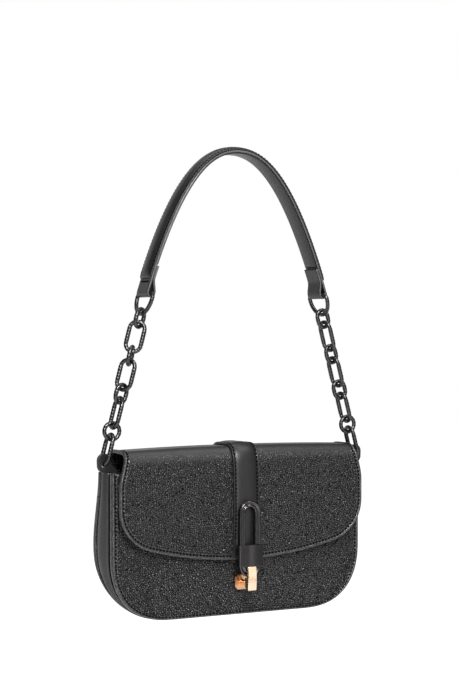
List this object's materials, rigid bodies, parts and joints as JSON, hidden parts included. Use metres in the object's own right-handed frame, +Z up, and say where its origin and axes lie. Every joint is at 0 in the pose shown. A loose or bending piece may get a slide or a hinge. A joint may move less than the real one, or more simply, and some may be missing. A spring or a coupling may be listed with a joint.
{
  "type": "baguette bag",
  "caption": "Small slim shoulder bag with a folding front flap, a loop clasp, chain links at both sides and an arched leather handle.",
  "frame": {"origin": "under the top of the handle, in the middle of its width, where a hook or a shoulder carries the bag", "axes": "+X along the bag towards the wearer's left when its front faces away from them, -Y out of its front, +Z up"},
  "size_m": [0.2674, 0.0671, 0.4136],
  "materials": {
    "grained_leather": "pebbled grain, soft sheen",
    "smooth_leather": "smooth, satin",
    "woven_lining": "plain weave, matt",
    "black_metal": "dark plated, polished",
    "rose_gold": "polished, pink plating",
    "plain_steel": "turned, plain"
  },
  "bodies": {
    "handle": {"handle_band": "smooth_leather", "handle_cover": "smooth_leather", "handle_lining": "woven_lining", "ring_left": "black_metal", "ring_right": "black_metal"},
    "link_2_pair": {"link_2_left": "black_metal", "link_2_right": "black_metal"},
    "link_3_pair": {"link_3_left": "black_metal", "link_3_right": "black_metal"},
    "link_4_pair": {"link_4_left": "black_metal", "link_4_right": "black_metal"},
    "link_5_pair": {"link_5_left": "black_metal", "link_5_right": "black_metal"},
    "link_6_pair": {"link_6_left": "black_metal", "link_6_right": "black_metal"},
    "link_7_pair": {"link_7_left": "black_metal", "link_7_right": "black_metal"},
    "link_8_pair": {"link_8_left": "black_metal", "link_8_right": "black_metal"},
    "link_9_pair": {"link_9_left": "black_metal", "link_9_right": "black_metal"},
    "bag": {"front_panel": "grained_leather", "back_panel": "grained_leather", "front_piping": "smooth_leather", "back_piping": "smooth_leather", "gusset": "smooth_leather", "front_lining": "woven_lining", "back_lining": "woven_lining", "tab_left": "smooth_leather", "tab_right": "smooth_leather", "clip_base": "rose_gold", "clip_backplate": "plain_steel"},
    "flap_over": {"flap_top": "grained_leather", "flap_top_lining": "woven_lining", "strap_top": "smooth_leather"},
    "flap_down": {"flap_front": "grained_leather", "flap_front_lining": "woven_lining", "strap_front": "smooth_leather", "clasp_loop": "black_metal", "clasp_plate": "black_metal", "clasp_clip": "rose_gold", "clasp_rivet_upper": "plain_steel", "clasp_rivet_lower": "plain_steel"}
  },
  "joints": [
    {"name": "link_2_swing", "type": "hinge", "parent": "handle", "child": "link_2_pair", "pos_m": [0, 0, -0.13966], "axis": [1, 0, 0], "range_deg": [-10, 10]},
    {"name": "link_3_swing", "type": "hinge", "parent": "link_2_pair", "child": "link_3_pair", "pos_m": [0, 0, -0.15064], "axis": [1, 0, 0], "range_deg": [-12, 12]},
    {"name": "link_4_swing", "type": "hinge", "parent": "link_3_pair", "child": "link_4_pair", "pos_m": [0, 0, -0.17213], "axis": [1, 0, 0], "range_deg": [-12, 12]},
    {"name": "link_5_swing", "type": "hinge", "parent": "link_4_pair", "child": "link_5_pair", "pos_m": [0, 0, -0.18321], "axis": [1, 0, 0], "range_deg": [-12, 12]},
    {"name": "link_6_swing", "type": "hinge", "parent": "link_5_pair", "child": "link_6_pair", "pos_m": [0, 0, -0.20478], "axis": [1, 0, 0], "range_deg": [-12, 12]},
    {"name": "link_7_swing", "type": "hinge", "parent": "link_6_pair", "child": "link_7_pair", "pos_m": [0, 0, -0.21583], "axis": [1, 0, 0], "range_deg": [-12, 12]},
    {"name": "link_8_swing", "type": "hinge", "parent": "link_7_pair", "child": "link_8_pair", "pos_m": [0, 0, -0.23743], "axis": [1, 0, 0], "range_deg": [-12, 12]},
    {"name": "link_9_swing", "type": "hinge", "parent": "link_8_pair", "child": "link_9_pair", "pos_m": [0, 0, -0.24708], "axis": [1, 0, 0], "range_deg": [-12, 12]},
    {"name": "bag_swing", "type": "hinge", "parent": "link_9_pair", "child": "bag", "pos_m": [0, 0, -0.2707], "axis": [1, 0, 0], "range_deg": [-10, 10]},
    {"name": "flap_hinge", "type": "hinge", "parent": "bag", "child": "flap_over", "pos_m": [0, 0.0175, -0.2672], "axis": [-1, 0, 0], "range_deg": [0, 16]},
    {"name": "flap_fold", "type": "hinge", "parent": "flap_over", "child": "flap_down", "pos_m": [0, -0.0242, -0.2702], "axis": [-1, 0, 0], "range_deg": [0, 110]}
  ]
}
